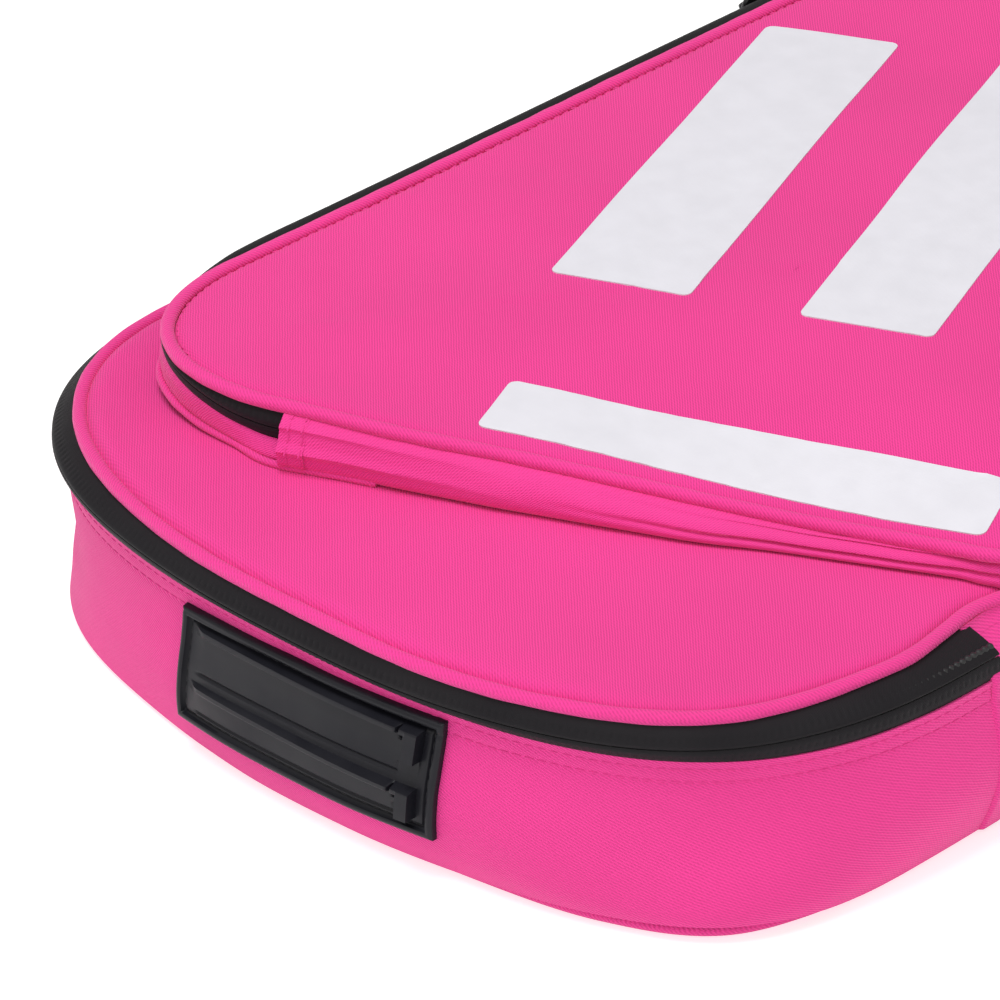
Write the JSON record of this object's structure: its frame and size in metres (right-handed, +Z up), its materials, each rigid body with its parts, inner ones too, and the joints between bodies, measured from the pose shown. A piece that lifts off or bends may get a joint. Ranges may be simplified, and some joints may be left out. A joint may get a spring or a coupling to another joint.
{
  "type": "paddle case",
  "caption": "Padded soft case for a racket-sport paddle, with a zipped lid, a slanted zipped front pocket, a rubber foot patch and a webbing grab handle.",
  "frame": {"origin": "centre of the whole case's bounding box, on the surface it lies on", "axes": "+Z up out of the front pocket, +Y along the case towards the grab handle, +X towards the hinge side"},
  "size_m": [0.2708, 0.4836, 0.072],
  "materials": {
    "shell_fabric": "matt twill polyester, bright pink",
    "lining_fabric": "plain-weave lining, dark grey",
    "foam": "closed-cell foam, matt",
    "zip_tape": "coated woven zipper tape, black",
    "zip_coil": "nylon coil, black",
    "webbing": "woven webbing, black",
    "slider_metal": "black painted zinc",
    "print_film": "satin heat-transfer film, white",
    "foot_rubber": "satin moulded rubber, black"
  },
  "bodies": {
    "shell": {"back_foam": "foam", "back_lining": "lining_fabric", "back_panel": "shell_fabric", "bottom_piping": "shell_fabric", "foot_patch": "foot_rubber", "grab_handle": "webbing", "gusset_foam": "foam", "gusset_lining": "lining_fabric", "gusset_wall": "shell_fabric", "handle_anchor_left": "shell_fabric", "handle_anchor_right": "shell_fabric", "hinge_gusset": "shell_fabric", "keeper_strap": "webbing", "main_zip_coil_lower": "zip_coil", "main_zip_tape_lower": "zip_tape"},
    "lid": {"lid_foam": "foam", "lid_lining": "lining_fabric", "lid_panel": "shell_fabric", "lid_piping": "shell_fabric", "main_zip_coil_upper": "zip_coil", "main_zip_tape_upper": "zip_tape", "pocket_foam": "foam", "pocket_gusset": "shell_fabric", "pocket_hem": "shell_fabric", "pocket_lining": "lining_fabric", "pocket_panel": "shell_fabric", "pocket_piping": "shell_fabric", "pocket_zip_coil_lower": "zip_coil", "pocket_zip_coil_upper": "zip_coil", "pocket_zip_tab": "shell_fabric", "pocket_zip_tape_lower": "zip_tape", "pocket_zip_tape_upper": "zip_tape", "print_bar_1": "print_film", "print_bar_2": "print_film", "print_bar_3": "print_film", "print_bar_4": "print_film"},
    "near_slider": {"main_slider_near": "slider_metal"},
    "near_puller": {"main_puller_near": "slider_metal"},
    "far_slider": {"main_slider_far": "slider_metal"},
    "far_puller": {"main_puller_far": "slider_metal"},
    "pocket_slider": {"pocket_slider": "slider_metal"},
    "pocket_puller": {"pocket_puller": "slider_metal"}
  },
  "joints": [
    {"name": "lid_hinge", "type": "hinge", "parent": "shell", "child": "lid", "pos_m": [0.13211, 0, 0.0514], "axis": [0, 1, 0], "range_deg": [0, 170]},
    {"name": "near_slider_slide", "type": "slide", "parent": "shell", "child": "near_slider", "axis": [0, -1, 0], "range_m": [0, 0.09]},
    {"name": "far_slider_slide", "type": "slide", "parent": "shell", "child": "far_slider", "axis": [0, 1, 0], "range_m": [0, 0.035]},
    {"name": "pocket_slider_slide", "type": "slide", "parent": "lid", "child": "pocket_slider", "axis": [0, -1, 0], "range_m": [0, 0.18]},
    {"name": "near_puller_swing", "type": "hinge", "parent": "near_slider", "child": "near_puller", "pos_m": [-0.13359, -0.03327, 0.047], "axis": [0, 0, -1], "range_deg": [0, 150]},
    {"name": "far_puller_swing", "type": "hinge", "parent": "far_slider", "child": "far_puller", "pos_m": [-0.13359, -0.01727, 0.047], "axis": [0, 0, 1], "range_deg": [0, 150]},
    {"name": "pocket_puller_swing", "type": "hinge", "parent": "pocket_slider", "child": "pocket_puller", "pos_m": [-0.11609, 0.05773, 0.0646], "axis": [0, 0, 1], "range_deg": [0, 180]}
  ]
}
